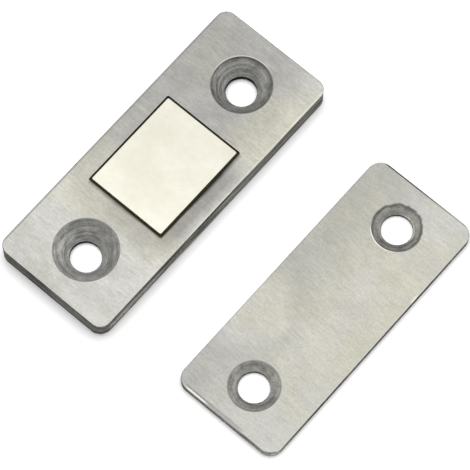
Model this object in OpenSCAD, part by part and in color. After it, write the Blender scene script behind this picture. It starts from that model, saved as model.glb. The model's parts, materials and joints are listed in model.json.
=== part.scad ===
// Two-piece magnetic catch. A steel plate carries a block magnet glued into its window, and a thin
// steel strike plate is what the magnet pulls on. Both lie face up, with their backs on one plane.
// The origin is midway between the magnet plate's screw holes, on its back: +X runs along the
// plate, and +Z points out of its face.

/* [Magnet plate] */
// Length of the plate that carries the magnet
plate_l = 42.5; // [40:0.5:60]
// Width of the magnet plate
plate_w = 17; // [15:0.5:30]
// Thickness of the magnet plate
plate_t = 3; // [2.8:0.1:5]
// Radius of the magnet plate's four corners
plate_corner_r = 1.5; // [0.5:0.1:3]
// Radius of the edges round the magnet plate's face
plate_face_r = 0.15; // [0.05:0.05:0.4]
// Radius of the edges round the magnet plate's back
plate_back_r = 0.1; // [0.05:0.05:0.4]
// Distance between the magnet plate's screw holes
plate_hole_spacing = 29; // [26:0.5:31]

/* [Magnet] */
// Length of the magnet, along the plate
magnet_l = 14.3; // [10:0.1:16]
// Width of the magnet, across the plate
magnet_w = 11.3; // [8:0.1:12.5]
// Height that the magnet's face stands out of the plate's face
magnet_proud = 0.3; // [0.1:0.05:0.6]
// Radius of the magnet's upright corners
magnet_corner_r = 0.2; // [0.2:0.05:1]
// Radius of the edges round the magnet's two faces
magnet_edge_r = 0.15; // [0.05:0.05:0.2]

/* [Adhesive] */
// Gap between the magnet and the window, all round
window_gap = 0.3; // [0.1:0.05:0.4]
// Radius of the window's corners
window_corner_r = 0.15; // [0.1:0.05:0.8]
// Distance from the plate's back to the magnet's underside
bed_height = 0.3; // [0.2:0.05:0.6]
// Distance that the adhesive keeps back from the plate's back
bed_setback = 0.05; // [0.02:0.01:0.15]
// Depth of the adhesive below the plate's face, in the gap
fill_drop = 0.45; // [0.2:0.05:1.5]

/* [Strike plate] */
// Length of the strike plate
strike_l = 38.4; // [36:0.1:56]
// Width of the strike plate
strike_w = 15.5; // [12:0.5:28]
// Thickness of the strike plate
strike_t = 1; // [0.9:0.1:2.5]
// Radius of the strike plate's four corners
strike_corner_r = 1.8; // [0.5:0.1:4]
// Radius that the punch rolls onto the edges round the strike plate's face
strike_roll_r = 0.2; // [0.05:0.05:0.5]
// Radius left by deburring on the edges round the strike plate's back
strike_back_r = 0.05; // [0.02:0.01:0.2]
// Distance between the strike plate's screw holes
strike_hole_spacing = 27; // [20:0.5:28]

/* [Screw holes] */
// Diameter of every screw hole
screw_hole_d = 4; // [3.6:0.1:4.6]
// Countersink diameter at the magnet plate's +X hole
plate_sink_right_d = 7.8; // [6:0.1:8.4]
// Countersink diameter at the magnet plate's -X hole
plate_sink_left_d = 8.2; // [6:0.1:8.4]
// Included angle of the magnet plate's countersinks
plate_sink_angle = 76; // [76:1:120]
// Countersink diameter at both strike plate holes
strike_sink_d = 6.5; // [5.5:0.1:7]
// Included angle of the strike plate's countersinks
strike_sink_angle = 120; // [110:1:140]

/* [Layout] */
// Clear distance between the two plates as they lie side by side
pair_gap = 10.2; // [2:0.1:40]
// Distance along the plates from the magnet plate's middle to the strike plate's middle
pair_shift = -0.3; // [-10:0.1:10]

/* [Hidden] */
$fn = 96;

// How far a cutting shape reaches past the face it opens
cut_past = 1;
// Least straight wall kept below a countersink
least_land = 0.1;
window_l = magnet_l + 2 * window_gap;
window_w = magnet_w + 2 * window_gap;
magnet_t = plate_t - bed_height + magnet_proud;
strike_y = -(plate_w / 2 + pair_gap + strike_w / 2);

// Section across a blank: flat back and face, with a radius on each of the four edges.
module blank_section(span, t, face_r, back_r) {
    translate([-span / 2, back_r])
        square([span, t - back_r - face_r]);
    edge_pair(span, face_r, t - face_r, t - face_r);
    edge_pair(span, back_r, back_r, 0);
}

// The two rounded edges on one side of a section, and the flat between them.
module edge_pair(span, r, round_z, flat_z) {
    translate([-span / 2 + r, flat_z])
        square([span - 2 * r, r]);
    for (side = [-1, 1])
        translate([side * (span / 2 - r), round_z])
            circle(r);
}

// Rounded blank standing on its back: two crossing bars carry the straight sides, and a turned
// post closes each corner, so that the edge radius runs on round it.
module blank(l, w, t, corner_r, face_r, back_r) {
    rotate([90, 0, 0])
        linear_extrude(w - 2 * corner_r, center = true)
            blank_section(l, t, face_r, back_r);
    rotate([90, 0, 90])
        linear_extrude(l - 2 * corner_r, center = true)
            blank_section(w, t, face_r, back_r);
    for (x = [-1, 1], y = [-1, 1])
        translate([x * (l / 2 - corner_r), y * (w / 2 - corner_r), 0])
            corner_post(t, corner_r, face_r, back_r);
}

// One corner of a blank, turned from half of its section.
module corner_post(t, corner_r, face_r, back_r) {
    rotate_extrude()
        intersection() {
            blank_section(2 * corner_r, t, face_r, back_r);
            square([corner_r, t]);
        }
}

// Block with square edges and round corners, between two heights.
module window_block(z_low, z_high) {
    height = z_high - z_low;
    translate([0, 0, z_low]) {
        translate([-window_l / 2 + window_corner_r, -window_w / 2, 0])
            cube([window_l - 2 * window_corner_r, window_w, height]);
        translate([-window_l / 2, -window_w / 2 + window_corner_r, 0])
            cube([window_l, window_w - 2 * window_corner_r, height]);
        for (x = [-1, 1], y = [-1, 1])
            translate([x * (window_l / 2 - window_corner_r), y * (window_w / 2 - window_corner_r), 0])
                cylinder(r = window_corner_r, h = height);
    }
}

// Screw hole with its conical seat for a countersunk head, turned as one cutter. Below the cone a
// short straight land is left at the hole's own diameter, and a seat too deep for the plate is cut
// shallower.
module screw_hole(t, sink_d, sink_angle) {
    hole_r = screw_hole_d / 2;
    slope = tan(sink_angle / 2);
    land = max(least_land, t - (sink_d / 2 - hole_r) / slope);
    rotate_extrude()
        polygon([
            [0, -cut_past],
            [hole_r, -cut_past],
            [hole_r, land],
            [hole_r + (t + cut_past - land) * slope, t + cut_past],
            [0, t + cut_past]
        ]);
}

module magnet_body() {
    translate([0, 0, bed_height])
        blank(magnet_l, magnet_w, magnet_t, magnet_corner_r, magnet_edge_r, magnet_edge_r);
}

module magnet_plate() {
    color([0.72, 0.71, 0.68])
        difference() {
            blank(plate_l, plate_w, plate_t, plate_corner_r, plate_face_r, plate_back_r);
            window_block(-cut_past, plate_t + cut_past);
            translate([plate_hole_spacing / 2, 0, 0])
                screw_hole(plate_t, plate_sink_right_d, plate_sink_angle);
            translate([-plate_hole_spacing / 2, 0, 0])
                screw_hole(plate_t, plate_sink_left_d, plate_sink_angle);
        }
}

module magnet() {
    color([0.95, 0.94, 0.89])
        magnet_body();
}

// Cured bed behind the magnet, which also fills the gap round it nearly to the face.
module adhesive() {
    color([0.14, 0.13, 0.11])
        difference() {
            window_block(bed_setback, plate_t - fill_drop);
            magnet_body();
        }
}

// Punched blank: the edges round its face are rolled over, and those round its back stay crisp.
module strike_plate() {
    color([0.77, 0.76, 0.73])
        translate([pair_shift, strike_y, 0])
            difference() {
                blank(strike_l, strike_w, strike_t, strike_corner_r, strike_roll_r, strike_back_r);
                for (side = [-1, 1])
                    translate([side * strike_hole_spacing / 2, 0, 0])
                        screw_hole(strike_t, strike_sink_d, strike_sink_angle);
            }
}

magnet_plate();
magnet();
adhesive();
strike_plate();
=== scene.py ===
# %% [markdown]
# # A magnetic catch, from steel strip to glued magnet
# This catch keeps a cabinet door shut. A thick plate with a magnet in it goes on the cabinet, and a thin
# strike plate goes on the door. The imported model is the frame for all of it: it gives every size and place,
# and each cell below gives one piece the shape and finish that its making leaves on it.

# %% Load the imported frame
import json
import math

import bmesh
import bpy
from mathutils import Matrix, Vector
from mathutils import noise as snoise


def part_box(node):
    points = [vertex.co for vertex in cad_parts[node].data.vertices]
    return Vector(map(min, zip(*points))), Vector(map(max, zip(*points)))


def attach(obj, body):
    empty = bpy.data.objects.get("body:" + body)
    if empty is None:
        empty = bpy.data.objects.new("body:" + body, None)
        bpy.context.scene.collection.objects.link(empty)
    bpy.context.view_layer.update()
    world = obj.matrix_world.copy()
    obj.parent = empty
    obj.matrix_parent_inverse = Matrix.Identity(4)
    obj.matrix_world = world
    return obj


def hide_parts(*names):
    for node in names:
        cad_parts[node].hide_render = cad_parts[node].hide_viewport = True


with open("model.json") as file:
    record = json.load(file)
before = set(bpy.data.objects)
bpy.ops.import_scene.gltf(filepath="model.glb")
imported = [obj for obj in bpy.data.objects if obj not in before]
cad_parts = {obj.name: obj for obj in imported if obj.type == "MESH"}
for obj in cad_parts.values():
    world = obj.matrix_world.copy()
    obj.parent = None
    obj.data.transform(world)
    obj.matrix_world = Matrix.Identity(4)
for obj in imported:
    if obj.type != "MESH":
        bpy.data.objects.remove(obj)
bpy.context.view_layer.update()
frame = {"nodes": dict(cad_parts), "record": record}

print("nodes in the frame:", ", ".join(sorted(frame["nodes"])))

# %% [markdown]
# The sizes are measured on the frame's meshes, so a plate that changes there is followed here. On a rounded
# plate, the flat of one side ends where the corners and the edges start to curve. That gives three radii
# without looking for them one by one.

# %% Measure the plates, the magnet and the window
MM = 0.001
TOUCH = 0.0001 * MM


def measure(node):
    """A plate's or block's sizes in millimetres, from its box and from the flat of its +X side."""
    low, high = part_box(node)
    side = [v.co for v in frame["nodes"][node].data.vertices if v.co.x > high.x - TOUCH]
    return {
        "Length": (high.x - low.x) / MM,
        "Width": (high.y - low.y) / MM,
        "Thickness": (high.z - low.z) / MM,
        "Corner Radius": (high.y - max(p.y for p in side)) / MM,
        "Face Edge": (high.z - max(p.z for p in side)) / MM,
        "Back Edge": (min(p.z for p in side) - low.z) / MM,
    }


def corners(node):
    """The lowest and the highest corner of a node's box, in millimetres."""
    low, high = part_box(node)
    return low / MM, high / MM


def foot(node):
    """The middle of a node's box, on the plane that it stands on."""
    low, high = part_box(node)
    return Vector(((low.x + high.x) / 2, (low.y + high.y) / 2, low.z))


magnet_size = measure("magnet")
window_size = measure("adhesive")
for node in ("magnet_plate", "strike_plate", "magnet", "adhesive"):
    print(node, {name: round(size, 3) for name, size in measure(node).items()})

# %% [markdown]
# A countersunk hole is a short straight bore with a cone above it. The record says where each bore is and how
# wide. The cone's rim is the ring of vertices nearest to the bore on the plate's face, and the bore's own
# highest vertices show where the cone starts.

# %% Measure the countersunk holes


def seats(node):
    """Each hole of a plate in mm: its middle from the plate's, bore and rim radius, and bore height."""
    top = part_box(node)[1].z
    points = [v.co for v in frame["nodes"][node].data.vertices]
    found = []
    for mount in frame["record"]["mounts"]:
        if mount["kind"] != "bore" or not mount["name"].startswith(node):
            continue
        axis = Vector(mount["pos_m"]).to_2d()
        bore = mount["dims"]["r_mm"]
        rim = min((p.to_2d() - axis).length for p in points if p.z > top - TOUCH)
        land = max(p.z for p in points if abs((p.to_2d() - axis).length - bore * MM) < TOUCH)
        middle = (axis - foot(node).to_2d()) / MM
        found.append({"middle": middle, "bore": bore, "rim": rim / MM, "land": land / MM})
    return found


for node in ("magnet_plate", "strike_plate"):
    for seat in seats(node):
        print(f"{node} hole: rim radius {seat['rim']:.3f} mm, bore height {seat['land']:.3f} mm")

# %% [markdown]
# Shape trees and finishes are both node trees, so a few short helpers serve both. Each adds one node and
# returns what comes out of it. A value that is a socket gets linked, and any other value is set as it is.

# %% Helpers for node trees
X_WAY = (1.0, 0.0, 0.0)
Y_WAY = (0.0, 1.0, 0.0)
Z_WAY = (0.0, 0.0, 1.0)


def add(tree, kind, inputs=None, **settings):
    """One node, with its settings, and its inputs either linked or set."""
    node = tree.nodes.new(kind)
    for name, value in settings.items():
        setattr(node, name, value)
    for key, value in (inputs or {}).items():
        if isinstance(value, bpy.types.NodeSocket):
            tree.links.new(value, node.inputs[key])
        else:
            node.inputs[key].default_value = value
    return node


def calc(tree, operation, *values):
    """One step of arithmetic on numbers."""
    return add(tree, "ShaderNodeMath", dict(enumerate(values)), operation=operation).outputs[0]


def plus(tree, first, second):
    """The sum of two numbers."""
    return calc(tree, "ADD", first, second)


def minus(tree, first, second):
    """The first number less the second."""
    return calc(tree, "SUBTRACT", first, second)


def times(tree, first, second):
    """The product of two numbers."""
    return calc(tree, "MULTIPLY", first, second)


def ratio(tree, first, second):
    """The first number divided by the second."""
    return calc(tree, "DIVIDE", first, second)


def times_plus(tree, first, second, third):
    """The product of two numbers, plus a third."""
    return calc(tree, "MULTIPLY_ADD", first, second, third)


def larger(tree, first, second):
    """The larger of two numbers."""
    return calc(tree, "MAXIMUM", first, second)


def ramp(tree, value, start, end, low=0.0, high=1.0):
    """The value low up to start, high from end on, and a straight ramp between them."""
    limits = {"Value": value, "From Min": start, "From Max": end, "To Min": low, "To Max": high}
    return add(tree, "ShaderNodeMapRange", limits).outputs["Result"]


def along(tree, place, direction):
    """How far a place lies in a direction, which is the dot product of the two."""
    both = {0: place, 1: direction}
    return add(tree, "ShaderNodeVectorMath", both, operation="DOT_PRODUCT").outputs["Value"]


def away(tree, place, spot):
    """How far a place lies from a spot."""
    both = {0: place, 1: spot}
    return add(tree, "ShaderNodeVectorMath", both, operation="DISTANCE").outputs["Value"]


def stretch(tree, vector, scale, shift=(0.0, 0.0, 0.0)):
    """The vector times scale along each axis, plus a shift."""
    grown = {0: vector, 1: scale, 2: shift}
    return add(tree, "ShaderNodeVectorMath", grown, operation="MULTIPLY_ADD").outputs[0]


def evenly(tree, vector, scale, shift=(0.0, 0.0, 0.0)):
    """The vector times one scale along all axes, plus a shift."""
    return stretch(tree, vector, (scale, scale, scale), shift)


def noise(tree, vector, detail=3.0, roughness=0.55):
    """Cloudy noise between 0 and 1, one cloud to each unit of the vector."""
    sizes = {"Vector": vector, "Scale": 1.0, "Detail": detail, "Roughness": roughness}
    return add(tree, "ShaderNodeTexNoise", sizes).outputs["Fac"]


print("node helpers are ready")

# %% [markdown]
# A finish is a Principled shader whose colour, roughness and relief come from noise. All of it is laid out in
# the piece's own coordinates, in millimetres, so that a pattern has its real size. Metal takes its look from
# its colour and roughness together, and the relief tilts the light a little.

# %% Helpers for finishes


def blend(tree, amount, first, second):
    """A colour between two colours."""
    mix = add(tree, "ShaderNodeMix", data_type="RGBA")
    for socket, value in ((mix.inputs[0], amount), (mix.inputs[6], first), (mix.inputs[7], second)):
        if isinstance(value, bpy.types.NodeSocket):
            tree.links.new(value, socket)
        else:
            socket.default_value = value
    return mix.outputs[2]


def grey(level, warmth=0.0):
    """An opaque grey, a little more red than blue when it has warmth."""
    return (level * (1 + warmth), level * (1 + 0.7 * warmth), level * (1 - warmth), 1.0)


def dim(tree, colour, amount):
    """A colour made darker by a share of itself, or brighter where the share is below 0."""
    kept_share = minus(tree, 1.0, amount)
    return add(tree, "ShaderNodeVectorMath", {0: colour, "Scale": kept_share}, operation="SCALE").outputs[0]


def tinted(tree, colour, amount):
    """A colour that is a little bluer where the amount is 0 and a little yellower where it is 1."""
    tint = blend(tree, amount, (1.0, 1.0, 1.02, 1.0), (1.01, 1.0, 0.92, 1.0))
    return add(tree, "ShaderNodeVectorMath", {0: colour, 1: tint}, operation="MULTIPLY").outputs[0]


def toward(tree, mm, direction, start, end, wander):
    """0 before start and 1 after end in a direction, with a border that wanders."""
    clouds = noise(tree, evenly(tree, mm, 0.12, (5.0, 2.0, 0.0)), 2.0)
    drift = minus(tree, clouds, 0.5)
    return ramp(tree, times_plus(tree, drift, wander, along(tree, mm, direction)), start, end)


def new_finish(name, metallic):
    """A material with its tree, its shader and the piece's own coordinates in millimetres."""
    material = bpy.data.materials.new(name)
    material.use_nodes = True
    tree = material.node_tree
    shader = tree.nodes["Principled BSDF"]
    shader.inputs["Metallic"].default_value = metallic
    metres = add(tree, "ShaderNodeTexCoord").outputs["Object"]
    return material, tree, shader, evenly(tree, metres, 1 / MM)


def finish(tree, shader, colour, rough, height, depth):
    """Gives the shader its colour and roughness, and a relief of up to depth millimetres."""
    tree.links.new(colour, shader.inputs["Base Color"])
    tree.links.new(rough, shader.inputs["Roughness"])
    bump = add(tree, "ShaderNodeBump", {"Strength": 1.0, "Distance": depth * MM, "Height": height})
    tree.links.new(bump.outputs["Normal"], shader.inputs["Normal"])


print("finish helpers are ready")

# %% [markdown]
# Flat strip is ground with a belt before it is cut, and the belt leaves fine lines across the width. Long,
# thin noise makes them: many clouds to the millimetre along the plate, and only a few along the lines. Pits
# and a few longer scratches break them up. Slow clouds on top give the patchy tone and hue of a surface that
# hands and oil have touched. What differs between the two plates comes in as three functions: where the steel
# is pale, partly as painted light, where it has yellowed, and where it is marked, which holds painted shade,
# shadow and highlights as well as marks.

# %% Ground steel for the faces
FINE_LINES = (3.2, 0.6, 1.0)
BROAD_LINES = (1.1, 0.12, 1.0)
SCRATCHES = (3.4, 0.24, 1.0)
SLOW_CLOUDS = (0.30, 0.24, 0.30)
PITS = 3.8
HUE_CLOUDS = 0.2
LINE_DEPTH = 0.006


def ground_steel(name, pale, deep, rough, tone, warmth, marks):
    """Steel with grinding lines along Y. Its tone runs from 0, where it is deep, to 1, where it is pale."""
    material, tree, shader, mm = new_finish(name, 1.0)
    fine = noise(tree, stretch(tree, mm, FINE_LINES), 3.0, 0.6)
    broad = noise(tree, stretch(tree, mm, BROAD_LINES, (31.0, 0.0, 0.0)), 2.0)
    cloud = noise(tree, stretch(tree, mm, SLOW_CLOUDS, (7.0, 3.0, 0.0)), 3.0)
    pits = noise(tree, evenly(tree, mm, PITS, (13.0, 0.0, 0.0)), 1.0)
    scratch = noise(tree, stretch(tree, mm, SCRATCHES, (0.0, 17.0, 0.0)), 1.0)
    stray = noise(tree, evenly(tree, mm, HUE_CLOUDS, (21.0, 6.0, 0.0)), 2.0)
    lines = times_plus(tree, fine, 0.75, times(tree, broad, 0.25))
    mottle = times_plus(tree, cloud, 0.6, times(tree, lines, 0.4))
    level = times_plus(tree, tone(tree, mm), 0.55, ramp(tree, mottle, 0.34, 0.66, -0.05, 0.29))
    yellow = plus(tree, warmth(tree, mm), ramp(tree, stray, 0.35, 0.65, -0.35, 0.35))
    wear_and_glint = plus(tree, ramp(tree, lines, 0.3, 0.7, 0.10, -0.06), ramp(tree, pits, 0.25, 0.75, 0.08, -0.08))
    wear_and_glint = plus(tree, wear_and_glint, ramp(tree, scratch, 0.66, 0.76, 0.0, 0.09))
    wear_and_glint = minus(tree, wear_and_glint, ramp(tree, scratch, 0.34, 0.24, 0.0, 0.09))
    colour = tinted(tree, blend(tree, level, deep, pale), yellow)
    colour = dim(tree, dim(tree, colour, wear_and_glint), marks(tree, mm))
    finish(tree, shader, colour, ramp(tree, lines, 0.3, 0.7, rough - 0.07, rough + 0.07), lines, LINE_DEPTH)
    return material


print("grinding lines:", FINE_LINES[0], "to the millimetre,", LINE_DEPTH, "mm deep")

# %% [markdown]
# On the magnet plate, the paler steel at the -X end and along the -Y border is painted light, where the
# mirrored sky is brighter, with random patches over it. Oil has yellowed the steel by the window's ends. A
# darker film and a dark lip beside the window's -X and -Y sides are the magnet's painted shadow. A dark line
# by the +Y edge is painted shade, and a bright line along the -Y edge is a painted highlight. They are placed
# from the plate's edges and the window where they follow them, and at plain millimetres along the plate where
# they don't.

# %% The magnet plate's face
PLATE_LOW, PLATE_HIGH = corners("magnet_plate")
WINDOW_LOW, WINDOW_HIGH = corners("adhesive")
# The magnet's painted shadow beside the window: its lip's width and darkness, and how dark the broad film is.
LIP_NARROW = 0.2
LIP_WIDE = 0.5
LIP_DARK = 0.6
SHADOW_DARK = 0.4
END_SHADOW_DARK = 0.15


def plate_light_and_patches(tree, mm):
    """Painted light: paler at the -X end and along the -Y border and palest where they meet, with random
    patches at that end.
    """
    end = toward(tree, mm, (-1.0, 0.0, 0.0), -2.0, 11.0, 3.0)
    border = toward(tree, mm, (0.0, -1.0, 0.0), 2.0, 7.5, 2.0)
    patches = minus(tree, noise(tree, evenly(tree, mm, 0.2, (9.0, 1.0, 0.0)), 2.0), 0.47)
    meeting = times(tree, calc(tree, "MINIMUM", end, border), 0.3)
    uneven = times_plus(tree, times(tree, patches, end), 1.5, meeting)
    return plus(tree, uneven, larger(tree, end, border))


def plate_warmth(tree, mm):
    """Yellow by the window's -X end and on the -Y border past its +X end. Between them the border is cool."""
    x = along(tree, mm, X_WAY)
    end = times(tree, ramp(tree, x, -15.0, -9.0, 0.0, 0.6), ramp(tree, x, -5.0, 2.0, 1.0, 0.0))
    border = toward(tree, mm, (0.0, -1.0, 0.0), 1.0, 5.0, 2.0)
    border = times(tree, border, ramp(tree, x, -6.5, -4.5))
    border = times(tree, border, ramp(tree, x, 3.5, 7.5, -0.6, 1.0))
    return plus(tree, end, times(tree, border, ramp(tree, x, 16.0, 21.0, 1.0, 0.0)))


def shadow_lip(tree, run, low, high, gap, side):
    """The painted shadow's dark lip beside one side of the window. It is dark at no gap, and it widens along
    its run.
    """
    begun = ramp(tree, run, low - 0.15, low + 0.15)
    length = times(tree, begun, ramp(tree, run, high - 0.05, high - 0.35, 0.0, side))
    width = ramp(tree, run, -3.5, 1.0, LIP_NARROW, LIP_WIDE)
    return times(tree, length, ramp(tree, ratio(tree, gap, width), 0.0, 1.0, LIP_DARK, 0.0))


def magnet_shadow(tree, mm):
    """The magnet's painted shadow beside the window's -X and -Y sides: a broad darker film and a dark lip."""
    x = along(tree, mm, X_WAY)
    y = along(tree, mm, Y_WAY)
    front = calc(tree, "LESS_THAN", y, 0.0)
    left = calc(tree, "LESS_THAN", x, 0.0)
    beside = times(tree, ramp(tree, x, -9.5, -5.5), ramp(tree, x, 7.2, 3.5, 0.0, front))
    across = times(tree, ramp(tree, y, -7.0, -5.0), ramp(tree, y, 4.0, 1.0, 0.0, left))
    side_shadow = times(tree, beside, toward(tree, mm, Y_WAY, -8.64, -7.36, 0.8))
    end_shadow = times(tree, across, toward(tree, mm, X_WAY, -11.6, -9.4, 1.2))
    spread = larger(tree, times(tree, side_shadow, SHADOW_DARK), times(tree, end_shadow, END_SHADOW_DARK))
    lip = shadow_lip(tree, x, WINDOW_LOW.x, WINDOW_HIGH.x, minus(tree, WINDOW_LOW.y, y), front)
    end_lip = shadow_lip(tree, y, WINDOW_LOW.y, WINDOW_HIGH.y, minus(tree, WINDOW_LOW.x, x), left)
    return plus(tree, spread, larger(tree, lip, end_lip))


def plate_marks(tree, mm):
    """The magnet's painted shadow, a line of painted shade by the +Y edge, and a painted highlight along the
    -Y edge.
    """
    x = along(tree, mm, X_WAY)
    y = along(tree, mm, Y_WAY)
    # Painted shade: a dark line along the +Y edge.
    dull = ramp(tree, x, -8.0, -4.0, 0.3, 0.2)
    dull = ramp(tree, y, PLATE_HIGH.y - 0.3, PLATE_HIGH.y - 0.22, 0.0, dull)
    # Painted highlight: a bright line along the -Y edge.
    bright = ramp(tree, x, 11.0, 13.5, 0.13, 0.2)
    bright = ramp(tree, y, PLATE_LOW.y + 0.18, PLATE_LOW.y + 0.3, bright, 0.0)
    bright = times(tree, bright, ramp(tree, x, -6.0, -4.5))
    return plus(tree, magnet_shadow(tree, mm), minus(tree, dull, bright))


plate_face = ground_steel(
    "ground_steel", grey(0.70, 0.05), grey(0.39, 0.04), 0.38, plate_light_and_patches, plate_warmth, plate_marks)
print("face finish:", plate_face.name)

# %% [markdown]
# The strike plate is marked in its own places. Its -Y half and a patch by the +Y border are paler, and its
# middle has yellowed. A dark line along the crisp +X edge is painted shade. Inside the rolled -X edge runs a
# line of painted shade, and by the +Y corner that edge carries a painted highlight. A bright spot on the -Y
# edge is a painted highlight too.

# %% The strike plate's face
STRIKE_LOW, STRIKE_HIGH = corners("strike_plate")
# A painted highlight spot on the strike plate's -Y edge stands at this X.
GLINT_SPOT_X = 7.3


def strike_tone(tree, mm):
    """Pale on the -Y half, and in a patch beside the +Y border."""
    half = toward(tree, mm, (0.0, -1.0, 0.0), 20.8, 28.0, 2.0)
    patch = ramp(tree, away(tree, mm, (-6.5, -20.5, 1.0)), 3.5, 7.0, 1.0, 0.0)
    return larger(tree, half, patch)


def strike_warmth(tree, mm):
    """Yellow in the middle, a little less on the +Y half, and bluer at both ends."""
    from_middle = calc(tree, "ABSOLUTE", minus(tree, along(tree, mm, X_WAY), 1.8))
    drift = noise(tree, evenly(tree, mm, 0.2, (1.0, 4.0, 0.0)), 2.0)
    middle_share = ramp(tree, times_plus(tree, drift, 10.0, from_middle), 14.0, 23.0, 0.75, 0.0)
    return times(tree, middle_share, ramp(tree, along(tree, mm, Y_WAY), -23.0, -20.0, 1.0, 0.7))


def far_edge_shade(tree, mm):
    """Painted shade: a dark line along the crisp +X edge, fading towards -Y."""
    line = ramp(tree, along(tree, mm, X_WAY), STRIKE_HIGH.x - 0.22, STRIKE_HIGH.x - 0.14, 0.0, 0.95)
    return times(tree, line, toward(tree, mm, Y_WAY, -36.0, -26.0, 4.0))


def off_glint_spot(tree, mm):
    """How far a place lies along X from the painted highlight spot on the -Y edge."""
    return calc(tree, "ABSOLUTE", minus(tree, along(tree, mm, X_WAY), GLINT_SPOT_X))


def rolled_runs(tree, mm):
    """Where the rolled -X edge carries painted shade along its run, and where a painted highlight. Both stop
    at the corner.
    """
    y = along(tree, mm, Y_WAY)
    begun = ramp(tree, y, STRIKE_HIGH.y - 2.0, STRIKE_HIGH.y - 1.3, 1.0, 0.0)
    dull = times(tree, ramp(tree, y, -29.5, -28.5), begun)
    bright = times(tree, ramp(tree, y, -24.0, -23.2), begun)
    return dull, bright


def strike_marks(tree, mm):
    """Painted shade along the +X edge, painted shade and a painted highlight by the rolled -X edge, and a
    highlight spot.
    """
    x = along(tree, mm, X_WAY)
    y = along(tree, mm, Y_WAY)
    dull_run, bright_run = rolled_runs(tree, mm)
    # Painted shade inside the rolled -X edge, and a painted highlight on it.
    off_line = calc(tree, "ABSOLUTE", minus(tree, x, STRIKE_LOW.x + 0.45))
    dull = ramp(tree, x, STRIKE_LOW.x + 0.46, STRIKE_LOW.x + 0.56, 0.24, 0.0)
    dull = plus(tree, dull, ramp(tree, off_line, 0.03, 0.09, 0.16, 0.0))
    bright = ramp(tree, x, STRIKE_LOW.x + 0.25, STRIKE_LOW.x + 0.31, 1.0, 0.0)
    rolled = minus(tree, times(tree, dull, dull_run), times(tree, bright, bright_run))
    # A painted highlight spot by the -Y edge.
    spot_glint = ramp(tree, off_glint_spot(tree, mm), 0.4, 0.8, 0.3, 0.0)
    spot_glint = ramp(tree, y, STRIKE_LOW.y + 0.3, STRIKE_LOW.y + 0.4, spot_glint, 0.0)
    return plus(tree, far_edge_shade(tree, mm), minus(tree, rolled, spot_glint))


strike_face = ground_steel(
    "brushed_steel", grey(0.66, 0.05), grey(0.44, 0.04), 0.36, strike_tone, strike_warmth, strike_marks)
print("face finish:", strike_face.name)

# %% [markdown]
# A shear or a punch cuts only part of the way through strip, and the rest tears. The cut part is smooth and
# takes on the tool's dark scale. The torn part is rough, so it scatters more light. Over both lie long seams
# in the strip, upright drag lines from the tool, and a fine grain. Bright lines on some edges are painted
# highlights.

# %% Sheared steel for the sides
DRAG_LINES = (2.6, 2.6, 0.6)
SEAMS = (0.14, 0.14, 1.4)
TORN_GRAIN = 2.8
TORN_DEPTH = 0.02


def sheared_steel(name, cut, torn, torn_share, glints):
    """Steel that is dark where it was cut and paler where it tore. Painted highlights are blended in towards
    near white.
    """
    material, tree, shader, mm = new_finish(name, 1.0)
    shader.inputs["Specular Tint"].default_value = grey(0.35)
    drag = noise(tree, stretch(tree, mm, DRAG_LINES), 3.0, 0.6)
    seam = noise(tree, stretch(tree, mm, SEAMS, (4.0, 9.0, 0.0)), 2.0, 0.5)
    grain = noise(tree, evenly(tree, mm, TORN_GRAIN, (0.0, 0.0, 8.0)), 2.0, 0.6)
    patches = times_plus(tree, seam, 0.84, times(tree, drag, 0.16))
    uneven = plus(tree, ramp(tree, patches, 0.36, 0.64, 0.48, -0.6), ramp(tree, grain, 0.3, 0.7, 0.35, -0.4))
    share = torn_share(tree, mm)
    colour = dim(tree, blend(tree, share, cut, torn), uneven)
    # Painted highlights on the edges, blended towards near white.
    colour = blend(tree, glints(tree, mm), colour, grey(0.95, 0.02))
    roughness = ramp(tree, share, 0.0, 1.0, 0.46, 0.62)
    finish(tree, shader, colour, roughness, plus(tree, patches, grain), TORN_DEPTH)
    return material


def plate_torn_and_shade(tree, mm):
    """The thick plate is torn on its -Y side, most by the -X corner, and darker above and below. The darker
    -X end is painted shade.
    """
    x = along(tree, mm, X_WAY)
    height = along(tree, mm, Z_WAY)
    torn = times(tree, ramp(tree, x, -13.0, -8.0, 0.85, 0.6), ramp(tree, x, 3.0, 8.0, 1.0, 0.72))
    # Painted shade: the -X end is darker.
    torn = times(tree, torn, ramp(tree, x, PLATE_LOW.x + 1.05, PLATE_LOW.x + 2.05, 0.4, 1.0))
    upper = times(tree, ramp(tree, x, 1.0, 4.0, 0.15, 1.2), ramp(tree, x, 11.0, 13.5, 1.0, 0.0))
    corner = ramp(tree, x, PLATE_LOW.x + 0.85, PLATE_LOW.x + 2.05, 0.9, 0.3)
    corner = times(tree, corner, ramp(tree, x, -10.0, -7.0, 1.0, 0.0))
    upper = larger(tree, upper, corner)
    lower = times(tree, ramp(tree, x, -8.5, -6.5, 0.1, 1.2), ramp(tree, x, 2.0, 5.0, 1.0, 0.1))
    drift = noise(tree, stretch(tree, mm, (0.5, 0.5, 0.0)), 3.0)
    line = times_plus(tree, drift, 0.6, ramp(tree, x, -10.0, -3.0, 1.75, 2.2))
    torn = times(tree, torn, ramp(tree, minus(tree, height, line), -0.1, 0.1, 1.0, upper))
    return times(tree, torn, ramp(tree, height, 0.3, 0.55, lower, 1.0))


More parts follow.
